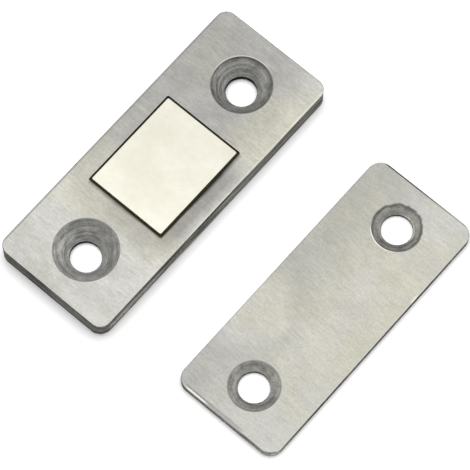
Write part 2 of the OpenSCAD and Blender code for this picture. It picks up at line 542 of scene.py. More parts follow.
def plate_edge_highlight(tree, mm):
    """A painted highlight along the upper edge of the -Y side, from about the window's +X end on."""
    lift = ramp(tree, along(tree, mm, X_WAY), 10.0, 14.0, 0.06, 0.03)
    height = plus(tree, along(tree, mm, Z_WAY), lift)
    upper = ramp(tree, height, PLATE_HIGH.z - 0.26, PLATE_HIGH.z - 0.18, 0.0, 0.6)
    front_side = calc(tree, "LESS_THAN", along(tree, mm, Y_WAY), PLATE_LOW.y + 0.2)
    run = toward(tree, mm, X_WAY, 3.5, 8.0, 3.0)
    return times(tree, upper, times(tree, front_side, run))


def end_side(tree, mm):
    """1 on the strike plate's -X side, and 0 on its other sides."""
    return calc(tree, "LESS_THAN", along(tree, mm, X_WAY), STRIKE_LOW.x + 1.5)


def strike_torn(tree, mm):
    """The thin plate is torn low down on its -X side, most by the -Y corner."""
    border = times(tree, noise(tree, stretch(tree, mm, (0.16, 0.16, 0.0)), 3.0), 1.2)
    low = ramp(tree, minus(tree, along(tree, mm, Z_WAY), border), -0.15, 0.15, 1.0, 0.0)
    toward_corner = ramp(tree, along(tree, mm, (0.0, -1.0, 0.0)), 22.0, 30.0, 0.15, 1.0)
    return times(tree, low, times(tree, end_side(tree, mm), toward_corner))


def strike_glint(tree, mm):
    """Painted highlights on the rolled edges: bright by the -X side's +Y corner, fainter further along that
    side, and along the -Y side.
    """
    z = along(tree, mm, Z_WAY)
    top = STRIKE_HIGH.z
    dull_run, bright_run = rolled_runs(tree, mm)
    bright = times(tree, ramp(tree, z, top - 0.05, top - 0.02), bright_run)
    dull = times(tree, ramp(tree, z, top - 0.16, top - 0.02, 0.0, 0.35), dull_run)
    end_glint = times(tree, larger(tree, bright, dull), end_side(tree, mm))
    front_side = calc(tree, "LESS_THAN", along(tree, mm, Y_WAY), STRIKE_LOW.y + 0.3)
    # A brighter painted highlight at the spot on the -Y edge.
    spot_glint = ramp(tree, off_glint_spot(tree, mm), 0.4, 0.8, 0.85, 0.6)
    front_glint = times(tree, ramp(tree, z, top - 0.08, top - 0.04, 0.0, spot_glint), front_side)
    return larger(tree, end_glint, front_glint)


plate_side = sheared_steel("sheared_steel", grey(0.045, 0.06), grey(0.315, 0.05), plate_torn_and_shade, plate_edge_highlight)
strike_side = sheared_steel("punched_steel", grey(0.155, 0.05), grey(0.29, 0.05), strike_torn, strike_glint)
print("side finishes:", plate_side.name, strike_side.name)

# %% [markdown]
# A countersink bit leaves rings in its cone, because its lips are never quite smooth. A ring stands at one
# height all the way round, so noise that depends almost only on height draws it. Two opposite sides of a cone
# carry a painted sheen, and a cone may carry painted shade under its rim or a painted highlight at its inner
# lip. For that the shape keeps two values on its points: climb, from the bore up to the rim, and a value that
# marks the two sides with the painted sheen. The bore below was punched before and keeps its dark scale. The
# rim carries a painted highlight round one spot.

# %% Turned steel for the countersinks
TURNED_RINGS = (0.16, 0.16, 5.0)
TURNED_SMEAR = (0.8, 0.8, 1.6)
TURNED_SPECKS = 4.5
TURNED_DEPTH = 0.02
# A painted highlight at an inner lip. Only the strike plate's +X hole reaches this far in this direction.
INNER_GLINT_WAY = (1.0, -0.6, 0.0)
INNER_GLINT_START = 29.0
INNER_GLINT_END = 30.5


def turned_steel(name, pale, deep, rough, shine, inner):
    """Steel with a bit's rings. A painted sheen brightens two opposite sides by shine, and a painted
    highlight its inner lip by inner.
    """
    material, tree, shader, mm = new_finish(name, 1.0)
    shader.inputs["Specular Tint"].default_value = grey(0.5)
    rings = noise(tree, stretch(tree, mm, TURNED_RINGS), 3.0, 0.7)
    smear = noise(tree, stretch(tree, mm, TURNED_SMEAR, (11.0, 5.0, 0.0)), 2.0)
    specks = noise(tree, evenly(tree, mm, TURNED_SPECKS), 2.0)
    climb = add(tree, "ShaderNodeAttribute", attribute_name="climb").outputs["Fac"]
    sheen_sides = add(tree, "ShaderNodeAttribute", attribute_name="sheen_sides").outputs["Fac"]
    x = along(tree, mm, X_WAY)
    tone = times_plus(tree, rings, 0.6, times(tree, smear, 0.4))
    colour = blend(tree, ramp(tree, tone, 0.41, 0.59), deep, pale)
    colour = dim(tree, colour, ramp(tree, specks, 0.3, 0.7, 0.2, -0.2))
    # Painted shade under the rims of the +X holes.
    rim_shade = ramp(tree, x, 0.0, 1.0, 0.0, 0.4)
    colour = dim(tree, colour, ramp(tree, climb, 0.75, 0.97, 0.0, rim_shade))
    # Painted highlight at the inner lip of the strike plate's +X hole.
    lip = ramp(tree, along(tree, mm, INNER_GLINT_WAY), INNER_GLINT_START, INNER_GLINT_END, 0.0, -inner)
    colour = dim(tree, colour, ramp(tree, climb, 0.1, 0.35, lip, 0.0))
    # Painted sheen on two opposite sides.
    colour = dim(tree, colour, times(tree, times(tree, sheen_sides, smear), -shine))
    # Painted highlight on the -X side of the -X holes.
    colour = dim(tree, colour, ramp(tree, x, -17.0, -15.0, -0.7 * shine, 0.0))
    roughness = ramp(tree, rings, 0.3, 0.7, rough - 0.08, rough + 0.08)
    finish(tree, shader, colour, roughness, rings, TURNED_DEPTH)
    return material


def black_bore(name):
    """The dark scale that a punch leaves in a bore."""
    material, tree, shader, mm = new_finish(name, 1.0)
    shader.inputs["Specular Tint"].default_value = grey(0.4)
    scale = noise(tree, stretch(tree, mm, (2.0, 2.0, 4.0)), 3.0)
    colour = blend(tree, scale, grey(0.01, 0.02), grey(0.05, 0.02))
    finish(tree, shader, colour, ramp(tree, scale, 0.3, 0.7, 0.5, 0.65), scale, 0.01)
    return material


def rim_highlight(name, spot, reach, strength):
    """The rim of a seat, with a painted highlight round one spot."""
    material, tree, shader, mm = new_finish(name, 1.0)
    drift = noise(tree, evenly(tree, mm, 0.7, (2.0, 6.0, 0.0)), 2.0)
    distance = times_plus(tree, drift, 2.0, away(tree, mm, spot))
    wear_and_glint = ramp(tree, distance, reach, reach + 1.5, strength, 0.0)
    colour = blend(tree, wear_and_glint, grey(0.33, 0.02), grey(0.95, 0.03))
    finish(tree, shader, colour, ramp(tree, wear_and_glint, 0.0, 1.0, 0.5, 0.3), wear_and_glint, 0.002)
    return material


plate_seat = turned_steel("turned_steel", grey(0.455, 0.025), grey(0.243, 0.025), 0.55, 0.5, 0.0)
strike_seat = turned_steel("turned_thin_steel", grey(0.345, 0.055), grey(0.173, 0.045), 0.55, 0.28, 0.6)
bore_wall = black_bore("scaled_bore")
plate_rim = rim_highlight("rim_highlight", (17.4, 2.5, PLATE_HIGH.z), 4.2, 0.5)
strike_rim = rim_highlight("thin_rim_highlight", (10.3, -26.0, STRIKE_HIGH.z), 2.4, 1.0)
hole_finishes = (plate_seat, strike_seat, bore_wall, plate_rim, strike_rim)
print("countersink finishes:", ", ".join(material.name for material in hole_finishes))

# %% [markdown]
# Both plates follow one rule: a rounded outline with rounded edges, any number of countersunk holes, and at
# most one window. Geometry Nodes can hold that rule as one tree with the sizes as inputs. The tree works in
# millimetres and makes the standing surfaces first: the band round the outside, the holes and the window.
# Then it fills the flat faces between their open edges, so that every seam closes by itself.

# %% Helpers for the plate tree
FACE_ZONE, SIDE_ZONE, SEAT_ZONE, BORE_ZONE, RIM_ZONE = range(5)
EDGE_STEP = 0.25
CORNER_STEPS = 16
SEW_GAP = 0.0005


def keep(tree, geometry, name, value, kind="FLOAT", domain="POINT"):
    """The geometry with a value kept on it under a name."""
    inputs = {"Geometry": geometry, "Name": name, "Value": value}
    return add(tree, "GeometryNodeStoreNamedAttribute", inputs, data_type=kind, domain=domain).outputs[0]


def kept(tree, name, kind="FLOAT"):
    """A value that was kept under a name."""
    return add(tree, "GeometryNodeInputNamedAttribute", {"Name": name}, data_type=kind).outputs["Attribute"]


def move(tree, geometry, position):
    """The geometry with each point put at a position."""
    return add(tree, "GeometryNodeSetPosition", {"Geometry": geometry, "Position": position}).outputs[0]


def point(tree, x, y, z):
    """Three numbers as one position."""
    return add(tree, "ShaderNodeCombineXYZ", {0: x, 1: y, 2: z}).outputs[0]


def parts(tree, position):
    """One position as three numbers."""
    return add(tree, "ShaderNodeSeparateXYZ", {0: position}).outputs


def sew(tree, geometry):
    """The geometry with points that lie on each other made one."""
    return add(tree, "GeometryNodeMergeByDistance", {"Geometry": geometry, "Distance": SEW_GAP}).outputs[0]


def outline(tree, length, width, corner):
    """A rounded rectangle as a closed curve with even steps."""
    frame_curve = add(tree, "GeometryNodeCurvePrimitiveQuadrilateral", {"Width": length, "Height": width})
    soft = {"Curve": frame_curve.outputs[0], "Count": CORNER_STEPS, "Radius": corner}
    rounded = add(tree, "GeometryNodeFilletCurve", soft, mode="POLY").outputs[0]
    even = {"Curve": rounded, "Length": EDGE_STEP}
    return add(tree, "GeometryNodeResampleCurve", even, mode="LENGTH").outputs[0]


def zone(tree, geometry, number, smooth):
    """The geometry with its faces numbered for their finish, and shaded smooth or flat."""
    shaded = {"Geometry": geometry, "Shade Smooth": smooth}
    even = add(tree, "GeometryNodeSetShadeSmooth", shaded).outputs[0]
    return keep(tree, even, "zone", number, "INT", "FACE")


print("plate zones:", RIM_ZONE + 1)

# %% [markdown]
# The outside is one band, swept round the outline: a small back edge, a straight side, and the edge that
# rolls over onto the face. Some edges came out crisper than others, so the roll may shrink with the way that
# a side faces. How far the dark finish of the sides reaches up the roll is painted shade, and it reaches
# further up some edges than others.

# %% The band round the outside
EDGE_ROWS = 31
BACK_SHARE = 0.2
FACE_SHARE = 0.7
CRISP_LOSS = 2.0
QUARTER_TURN = math.pi / 2


def band_sheet(tree, given):
    """A band round the outline, whose points keep their stand, their way outward and their rise."""
    path = outline(tree, given["Length"], given["Width"], given["Corner Radius"])
    place = add(tree, "GeometryNodeInputPosition").outputs[0]
    tangent = add(tree, "GeometryNodeInputTangent").outputs[0]
    crossed = {0: tangent, 1: Z_WAY}
    across = add(tree, "ShaderNodeVectorMath", crossed, operation="CROSS_PRODUCT").outputs[0]
    turned = {0: across, "Scale": calc(tree, "SIGN", along(tree, across, place))}
    outward = add(tree, "ShaderNodeVectorMath", turned, operation="SCALE").outputs[0]
    path = keep(tree, path, "stand", place, "FLOAT_VECTOR")
    path = keep(tree, path, "outward", outward, "FLOAT_VECTOR")
    line = add(tree, "GeometryNodeCurvePrimitiveLine").outputs[0]
    even = {"Curve": line, "Count": EDGE_ROWS}
    rows = add(tree, "GeometryNodeResampleCurve", even, mode="COUNT").outputs[0]
    rows = keep(tree, rows, "rise", add(tree, "GeometryNodeSplineParameter").outputs["Factor"])
    return add(tree, "GeometryNodeCurveToMesh", {"Curve": path, "Profile Curve": rows}).outputs[0]


def edge_band(tree, given):
    """The outside: a back edge, a straight side and a face edge, swept round the outline."""
    swept = band_sheet(tree, given)
    outward = kept(tree, "outward", "FLOAT_VECTOR")
    crisp = larger(tree, along(tree, outward, given["Crisp Side"]), 0.0)
    roll = times(tree, given["Face Edge"], times_plus(tree, crisp, -CRISP_LOSS, 1.0))

    share = kept(tree, "rise")
    back_turn = times(tree, ramp(tree, share, 0.0, BACK_SHARE), QUARTER_TURN)
    wall_part = ramp(tree, share, BACK_SHARE, FACE_SHARE)
    face_turn = times(tree, ramp(tree, share, FACE_SHARE, 1.0), QUARTER_TURN)
    back_in = times(tree, given["Back Edge"], minus(tree, calc(tree, "SINE", back_turn), 1.0))
    face_in = times(tree, roll, minus(tree, calc(tree, "COSINE", face_turn), 1.0))
    back_up = times(tree, given["Back Edge"], minus(tree, 1.0, calc(tree, "COSINE", back_turn)))
    face_up = times(tree, roll, calc(tree, "SINE", face_turn))
    wall = minus(tree, given["Thickness"], plus(tree, given["Back Edge"], roll))
    height = plus(tree, times_plus(tree, wall, wall_part, back_up), face_up)

    push = plus(tree, back_in, face_in)
    shifted = {0: outward, 1: point(tree, push, push, push), 2: kept(tree, "stand", "FLOAT_VECTOR")}
    flat = parts(tree, add(tree, "ShaderNodeVectorMath", shifted, operation="MULTIPLY_ADD").outputs[0])
    shaped = move(tree, swept, point(tree, flat["X"], flat["Y"], height))
    # How far the dark side finish reaches up the roll is painted shade.
    reach = plus(tree, given["Dark Edge"], along(tree, outward, given["Dark Side"]))
    border = times_plus(tree, reach, 1.0 - FACE_SHARE, FACE_SHARE)
    return zone(tree, shaped, calc(tree, "LESS_THAN", share, border), True)


print("edge rows:", EDGE_ROWS)

# %% [markdown]
# A bit is never quite in line with the punched bore, so a cone may stand a little off its bore, and the land
# under it is then higher on one side. The bit leaves rings, its rim breaks, and one rim has chattered. Each
# hole starts as a flat sheet that is bent into shape: one way of the sheet runs round the hole, and the other
# runs up the bore, the cone and the broken rim.

# %% The countersunk holes
SEAT_STEPS = 160
SEAT_ROWS = 61
LAND_SHARE = 0.1
SCALE_SHARE = 0.115
RIM_SHARE = 0.9
CHATTER_SCALE = 4.0
SHEEN_START = 0.55


def seat_sheets(tree, seat_points):
    """A flat sheet for each hole. Its points keep the hole's middle, their turn round it and their rise."""
    place = add(tree, "GeometryNodeInputPosition").outputs[0]
    middles = keep(tree, seat_points, "middle", place, "FLOAT_VECTOR")
    size = {"Size X": 1.0, "Size Y": 1.0, "Vertices X": SEAT_STEPS + 1, "Vertices Y": SEAT_ROWS}
    sheet = add(tree, "GeometryNodeMeshGrid", size).outputs[0]
    grid = parts(tree, place)
    sheet = keep(tree, sheet, "turn", times(tree, plus(tree, grid["X"], 0.5), 2 * math.pi))
    sheet = keep(tree, sheet, "rise", plus(tree, grid["Y"], 0.5))
    copies = add(tree, "GeometryNodeInstanceOnPoints", {"Points": middles, "Instance": sheet}).outputs[0]
    return add(tree, "GeometryNodeRealizeInstances", {"Geometry": copies}).outputs[0]


def seat_rim(tree, ray):
    """The radius of a hole's rim in the direction of a ray, shaken where the bit chattered."""
    swing = along(tree, ray, kept(tree, "chatter", "FLOAT_VECTOR"))
    shiver = minus(tree, noise(tree, evenly(tree, ray, CHATTER_SCALE), 2.0, 0.6), 0.5)
    return times_plus(tree, shiver, larger(tree, swing, 0.0), kept(tree, "rim"))


def seat_cones(tree, given):
    """One bore and cone on each point, with the rings that the bit leaves in the cone."""
    sheets = seat_sheets(tree, given["Seats"])
    rise = kept(tree, "rise")
    turn = kept(tree, "turn")
    ray = point(tree, calc(tree, "COSINE", turn), calc(tree, "SINE", turn), 0.0)
    # A painted sheen on two opposite sides of each cone.
    sided = calc(tree, "ABSOLUTE", along(tree, ray, given["Sheen Sides"]))
    sheets = keep(tree, sheets, "sheen_sides", ramp(tree, sided, SHEEN_START, 1.0))

    edge = minus(tree, seat_rim(tree, ray), given["Rim Break"])
    true_bore = kept(tree, "bore")
    true_land = kept(tree, "land")
    lean = along(tree, ray, kept(tree, "drift", "FLOAT_VECTOR"))
    steep = ratio(tree, minus(tree, given["Thickness"], true_land), minus(tree, edge, true_bore))
    bore = plus(tree, true_bore, lean)
    land = times_plus(tree, lean, steep, true_land)
    run = minus(tree, edge, bore)
    lift = minus(tree, given["Thickness"], land)
    length = calc(tree, "SQRT", times_plus(tree, run, run, times(tree, lift, lift)))

    up = ramp(tree, rise, 0.0, LAND_SHARE)
    cone = ramp(tree, rise, LAND_SHARE, RIM_SHARE)
    lip = ramp(tree, rise, RIM_SHARE, 1.0)
    sheets = keep(tree, sheets, "climb", cone)
    lip_part = ratio(tree, given["Rim Break"], length)
    lip_square = times(tree, lip, lip)
    bent = times_plus(tree, lip, 2.0, times(tree, lip_square, -1.0))
    slope = times_plus(tree, minus(tree, 1.0, lip_part), cone, times(tree, lip_part, bent))

    centre = parts(tree, kept(tree, "middle", "FLOAT_VECTOR"))
    passed = plus(tree, ratio(tree, times(tree, slope, length), given["Mark Pitch"]), centre["X"])
    rings = add(tree, "ShaderNodeTexNoise", {"W": passed, "Scale": 1.0, "Detail": 1.0}, noise_dimensions="1D")
    fade = times(tree, ramp(tree, cone, 0.0, 0.06), ramp(tree, cone, 0.94, 1.0, 1.0, 0.0))
    depth = times(tree, times(tree, fade, given["Mark Depth"]), rings.outputs["Fac"])
    back = ratio(tree, times(tree, depth, lift), length)
    down = ratio(tree, times(tree, depth, run), length)

    outer = times_plus(tree, lip_square, given["Rim Break"], back)
    radius = plus(tree, times_plus(tree, slope, run, bore), outer)
    level = times_plus(tree, up, land, times(tree, slope, lift))
    heading = parts(tree, ray)
    x = times_plus(tree, radius, heading["X"], centre["X"])
    y = times_plus(tree, radius, heading["Y"], centre["Y"])
    shaped = move(tree, sheets, point(tree, x, y, minus(tree, level, down)))
    scaled = calc(tree, "LESS_THAN", rise, SCALE_SHARE)
    broken = calc(tree, "GREATER_THAN", rise, RIM_SHARE)
    number = times_plus(tree, scaled, BORE_ZONE - SEAT_ZONE, SEAT_ZONE)
    number = times_plus(tree, broken, RIM_ZONE - SEAT_ZONE, number)
    return zone(tree, sew(tree, shaped), number, True)


print("steps round a hole:", SEAT_STEPS, "and up it:", SEAT_ROWS - 1)

# %% [markdown]
# The window is punched straight through, so its wall is upright and has no rounding. The flat faces are
# filled last, between all the open edges at one level. At the end the tree sews the seams, turns
# millimetres into metres, and gives each zone its finish.

# %% The window, the flat faces and the whole tree
WINDOW_SIZES = ("Window Length", "Window Width", "Window Corner")
SIZES = (
    "Length", "Width", "Thickness", "Corner Radius", "Face Edge", "Back Edge", *WINDOW_SIZES,
    "Mark Pitch", "Mark Depth", "Rim Break", "Dark Edge",
)
DIRECTIONS = ("Crisp Side", "Dark Side", "Sheen Sides", "Place")
FINISHES = ("Face Finish", "Side Finish", "Seat Finish", "Bore Finish", "Rim Finish")


def window_wall(tree, given):
    """The upright wall of the window, where there is one."""
    path = outline(tree, given["Window Length"], given["Window Width"], given["Window Corner"])
    wire = add(tree, "GeometryNodeCurveToMesh", {"Curve": path}).outputs[0]
    up = point(tree, 0.0, 0.0, given["Thickness"])
    raised = {"Mesh": wire, "Offset": up, "Offset Scale": 1.0}
    wall = add(tree, "GeometryNodeExtrudeMesh", raised, mode="EDGES").outputs["Mesh"]
    wanted = calc(tree, "GREATER_THAN", given["Window Length"], 0.0)
    chosen = {"Switch": wanted, "True": wall}
    walls = add(tree, "GeometryNodeSwitch", chosen, input_type="GEOMETRY").outputs[0]
    return zone(tree, walls, SIDE_ZONE, False)


def flat_face(tree, walls, given, upper):
    """A flat face between the open edges of the walls, at their top or at their foot."""
    place = add(tree, "GeometryNodeInputPosition").outputs[0]
    flat = parts(tree, place)
    half = times(tree, given["Thickness"], 0.5)
    single = calc(tree, "COMPARE", add(tree, "GeometryNodeInputMeshEdgeNeighbors").outputs[0], 1.0, 0.1)
    side = calc(tree, "GREATER_THAN" if upper else "LESS_THAN", flat["Z"], half)
    open_edges = times(tree, single, side)
    loops = add(tree, "GeometryNodeMeshToCurve", {"Mesh": walls, "Selection": open_edges}).outputs[0]
    filled = add(tree, "GeometryNodeFillCurve", {"Curve": loops}, mode="TRIANGLES").outputs[0]
    level = times(tree, given["Thickness"], 1.0 if upper else 0.0)
    return zone(tree, move(tree, filled, point(tree, flat["X"], flat["Y"], level)), FACE_ZONE, False)


def join(tree, *geometry):
    """Several pieces of geometry as one."""
    together = add(tree, "GeometryNodeJoinGeometry")
    for piece in geometry:
        tree.links.new(piece, together.inputs[0])
    return together.outputs[0]


def plate_tree():
    """The whole tree, with one named input for each size, direction and finish."""
    tree = bpy.data.node_groups.new("machined_plate", "GeometryNodeTree")
    kinds = [("Seats", "NodeSocketGeometry")]
    kinds += [(name, "NodeSocketFloat") for name in SIZES]
    kinds += [(name, "NodeSocketVector") for name in DIRECTIONS]
    kinds += [(name, "NodeSocketMaterial") for name in FINISHES]
    for name, kind in kinds:
        tree.interface.new_socket(name, in_out="INPUT", socket_type=kind)
    tree.interface.new_socket("Plate", in_out="OUTPUT", socket_type="NodeSocketGeometry")
    given = tree.nodes.new("NodeGroupInput").outputs
    walls = join(tree, edge_band(tree, given), seat_cones(tree, given), window_wall(tree, given))
    whole = join(tree, walls, flat_face(tree, walls, given, True), flat_face(tree, walls, given, False))
    scaled = {"Geometry": sew(tree, whole), "Translation": given["Place"], "Scale": (MM, MM, MM)}
    placed = add(tree, "GeometryNodeTransform", scaled).outputs[0]
    result = add(tree, "GeometryNodeRealizeInstances", {"Geometry": placed}).outputs[0]
    for number, name in enumerate(FINISHES):
        here = calc(tree, "COMPARE", kept(tree, "zone", "INT"), number, 0.1)
        dressed = {"Geometry": result, "Selection": here, "Material": given[name]}
        result = add(tree, "GeometryNodeSetMaterial", dressed).outputs[0]
    tree.links.new(result, tree.nodes.new("NodeGroupOutput").inputs[0])
    return tree


machined_plate = plate_tree()
print("plate tree:", len(machined_plate.nodes), "nodes")

# %% [markdown]
# The tree runs on a mesh that holds only the holes' middles, with each hole's own sizes and faults on its
# point. What comes out is turned into a plain mesh, because the catch is handed on without live modifiers.

# %% Run the tree for one plate
HOLE_SIZES = ("bore", "rim", "land")
HOLE_FAULTS = ("chatter", "drift")
WORKING_VALUES = (*HOLE_SIZES, *HOLE_FAULTS, "stand", "outward", "rise", "turn", "middle", "zone")


def run_tree(name, points, tree, values):
    """A plain mesh object that the tree makes from points and values."""
    holder = bpy.data.meshes.new(name + "_points")
    holder.from_pydata([(p["middle"].x, p["middle"].y, 0.0) for p in points], [], [])
    for size in HOLE_SIZES:
        attribute = holder.attributes.new(size, "FLOAT", "POINT")
        for slot, p in zip(attribute.data, points):
            slot.value = p[size]
    for fault in HOLE_FAULTS:
        attribute = holder.attributes.new(fault, "FLOAT_VECTOR", "POINT")
        for slot, p in zip(attribute.data, points):
            slot.vector = p[fault]
    piece = bpy.data.objects.new(name, holder)
    bpy.context.scene.collection.objects.link(piece)
    modifier = piece.modifiers.new("shape", "NODES")
    modifier.node_group = tree
    for item in tree.interface.items_tree:
        if item.name in values:
            modifier[item.identifier] = values[item.name]
    bpy.context.view_layer.update()
    shaped = piece.evaluated_get(bpy.context.evaluated_depsgraph_get())
    mesh = bpy.data.meshes.new_from_object(shaped)
    piece.modifiers.remove(modifier)
    piece.data = mesh
    mesh.name = name
    return piece


def tidy(piece):
    """Turns every face outwards, drops the tree's working values, and prints what the piece is made of."""
    mesh = piece.data
    shell = bmesh.new()
    shell.from_mesh(mesh)
    bmesh.ops.recalc_face_normals(shell, faces=shell.faces)
    open_edges = sum(1 for edge in shell.edges if len(edge.link_faces) != 2)
    shell.to_mesh(mesh)
    shell.free()
    for name in WORKING_VALUES:
        if name in mesh.attributes:
            mesh.attributes.remove(mesh.attributes[name])
    if mesh.materials[0] is None:
        mesh.materials.pop(index=0)
    finishes = len(mesh.materials)
    print(f"{piece.name}: {len(mesh.polygons)} faces, {open_edges} open edges, {finishes} finishes")


print("working values:", ", ".join(WORKING_VALUES))

# %% [markdown]
# The magnet plate takes its sizes from the frame, and its window from the adhesive that fills it. Its holes
# stand as the photo shows them: cones and bores are up to 0.15 mm off their true places, and each rim broke
# a little wide.

# %% The magnet plate
MARK_PITCH = 0.16
RIM_BREAK = 0.07
DARK_EDGE = 0.65
# The way across which the cones carry their painted sheen.
SHEEN_WAY = (0.482, -0.876, 0.0)


def plate_inputs(node, window, mark_depth, crisp_side, dark_side, finishes):
    """The tree's inputs for one plate: measured sizes, a window, tool marks, edges and finishes."""
    values = measure(node)
    values.update(zip(WINDOW_SIZES, window))
    values.update(zip(FINISHES, finishes))
    values.update({
        "Mark Pitch": MARK_PITCH,
        "Mark Depth": mark_depth,
        "Rim Break": RIM_BREAK,
        "Dark Edge": DARK_EDGE,
        "Crisp Side": crisp_side,
        "Dark Side": dark_side,
        "Sheen Sides": SHEEN_WAY,
        "Place": foot(node),
    })
    return values


def off_true(seat, cone, bore, wider, chatter=0.0):
    """Gives a hole its faults in mm: a cone off its place, a bore off its cone, a wider rim and chatter."""
    seat["middle"] += Vector(cone)
    seat["drift"] = (*bore, 0.0)
    seat["rim"] += wider
    seat["chatter"] = (chatter, 0.0, 0.0)


plate_window = (window_size["Length"], window_size["Width"], window_size["Corner Radius"])
plate_finishes = (plate_face, plate_side, plate_seat, bore_wall, plate_rim)
plate_values = plate_inputs(
    "magnet_plate", plate_window, 0.03, (0.1, 0.2, 0.0), (0.1, 0.2, 0.0), plate_finishes)
plate_holes = seats("magnet_plate")
off_true(plate_holes[0], (0.02, -0.04), (0.04, 0.09), 0.09)
off_true(plate_holes[1], (-0.034, -0.05), (-0.076, 0.14), 0.09)
magnet_plate = run_tree("plate_body", plate_holes, machined_plate, plate_values)
tidy(magnet_plate)

# %% [markdown]
# A shear with a worn blade doesn't end its cut cleanly. Near one corner of this plate the metal has torn away
# below the cut, so the foot of the side stands a little further in, with a ragged start. The foot of the
# corner itself was knocked in further.

# %% The torn side
TEAR_DEPTH = 0.09
TEAR_HEIGHT = 0.9
TEAR_FADE = 0.2
TEAR_START = -5.8
TEAR_RUN = 2.0
TEAR_STOP = 0.35
TEAR_STOP_RUN = 0.8
SIDE_REACH = 0.5
SIDE_SHARPNESS = 1000
KNOCK_DEPTH = 0.14
KNOCK_RUN = 0.6
KNOCK_SHARE = 0.7


def ragged(place, size):
    """Rough noise between -1 and 1 along the side, with lumps of about the given size in millimetres."""
    return snoise.noise(Vector((place / size, 3.7, 1.3)))


def share_of(value):
    """A value kept between 0 and 1."""
    return min(1.0, max(0.0, value))


def tear_side(piece, size, place):
    """Moves the foot of the -Y side inwards, left of a ragged start, and the foot of the corner more."""
    left = place.x / MM - size["Length"] / 2
    front = place.y / MM - size["Width"] / 2
    corner = size["Corner Radius"]
    moved = 0
    for vertex in piece.data.vertices:
        x, y, z = vertex.co / MM
        top = TEAR_HEIGHT + 0.3 * ragged(x, 1.5) + 0.2 * ragged(x, 0.4)
        below = share_of((top - z) / TEAR_FADE)
        start = share_of((TEAR_START - x + ragged(x, 0.5)) / TEAR_RUN)
        start *= share_of((x - left - TEAR_STOP) / TEAR_STOP_RUN)
        torn = TEAR_DEPTH * start * share_of((front + SIDE_REACH - y) * SIDE_SHARPNESS)
        knock = KNOCK_DEPTH * share_of((left + corner - x) / KNOCK_RUN)
        knock *= share_of((front + corner - y) / KNOCK_RUN)
        shift = Vector((KNOCK_SHARE * knock, torn + KNOCK_SHARE * knock, 0.0)) * below
        if shift.length > 0:
            vertex.co += shift * MM
            moved += 1
    print(piece.name, "tear:", moved, "points moved")


tear_side(magnet_plate, plate_values, foot("magnet_plate"))

# %% [markdown]
# The strike plate is thinner stock from the same kind of press. Its holes are spread wider for their depth,
# and the punch has rolled its edges over, least at the +X end. The same tree makes it from its own
# measurements and without a window. The rim of one hole has chattered.

# %% The strike plate
NO_WINDOW = (0.0, 0.0, 0.0)
strike_finishes = (strike_face, strike_side, strike_seat, bore_wall, strike_rim)
strike_values = plate_inputs(
    "strike_plate", NO_WINDOW, 0.02, (0.32, 0.0, 0.0), (-0.1, -0.25, 0.0), strike_finishes)
strike_holes = seats("strike_plate")
off_true(strike_holes[0], (-0.09, 0.0), (0.01, -0.05), 0.03, 1.1)
off_true(strike_holes[1], (-0.07, -0.09), (0.01, 0.03), 0.07)
strike_plate = run_tree("strike_body", strike_holes, machined_plate, strike_values)
tidy(strike_plate)

# %% [markdown]
# A block magnet is pressed from powder, tumbled until its edges are round, and plated with nickel. Plating is
# smoother than ground steel and a little yellow, with a faint orange peel from the grains under it. A stack
# of rounded rings makes the block: the lower edge first, and then the same rings again, upside down.

# %% The magnet
ROUND_STEPS = 6
PEEL_DEPTH = 0.004


def loop(length, width, corner, height, steps=10):
    """A closed ring of points round a rounded rectangle, in millimetres."""
    ring = []
    for quarter, (sx, sy) in enumerate(((1, 1), (-1, 1), (-1, -1), (1, -1))):
        for step in range(steps + 1):
            turn = (quarter + step / steps) * math.pi / 2
            x = sx * (length / 2 - corner) + corner * math.cos(turn)
            y = sy * (width / 2 - corner) + corner * math.sin(turn)
            ring.append(Vector((x, y, height)))
    return ring


def stacked(name, rings, place, material):
    """A closed mesh through a stack of rings, with a flat face at each end."""
    shell = bmesh.new()
    rows = [[shell.verts.new(p * MM + place) for p in ring] for ring in rings]
    for lower, upper in zip(rows, rows[1:]):
        for i in range(len(lower)):
            j = (i + 1) % len(lower)
            side = shell.faces.new((lower[i], lower[j], upper[j], upper[i]))
            side.smooth = True
    shell.faces.new(rows[0][::-1])
    shell.faces.new(rows[-1])
    mesh = bpy.data.meshes.new(name)
    shell.to_mesh(mesh)
    shell.free()
    mesh.materials.append(material)
    piece = bpy.data.objects.new(name, mesh)
    bpy.context.scene.collection.objects.link(piece)
    return piece


def nickel_plating(name):
    """Satin nickel, a little duller towards +X."""
    material, tree, shader, mm = new_finish(name, 1.0)
    peel = noise(tree, evenly(tree, mm, 1.4), 1.0)
    cloud = noise(tree, evenly(tree, mm, 0.22, (3.0, 8.0, 0.0)), 3.0)
    colour = blend(tree, ramp(tree, cloud, 0.35, 0.65), (0.85, 0.82, 0.70, 1.0), (0.92, 0.90, 0.785, 1.0))
    dull = ramp(tree, along(tree, mm, (1.0, 0.35, 0.0)), -7.0, 7.0, -0.03, 0.05)
    colour = dim(tree, colour, plus(tree, dull, ramp(tree, peel, 0.3, 0.7, 0.02, -0.02)))
    finish(tree, shader, colour, ramp(tree, peel, 0.3, 0.7, 0.24, 0.32), peel, PEEL_DEPTH)
    return material


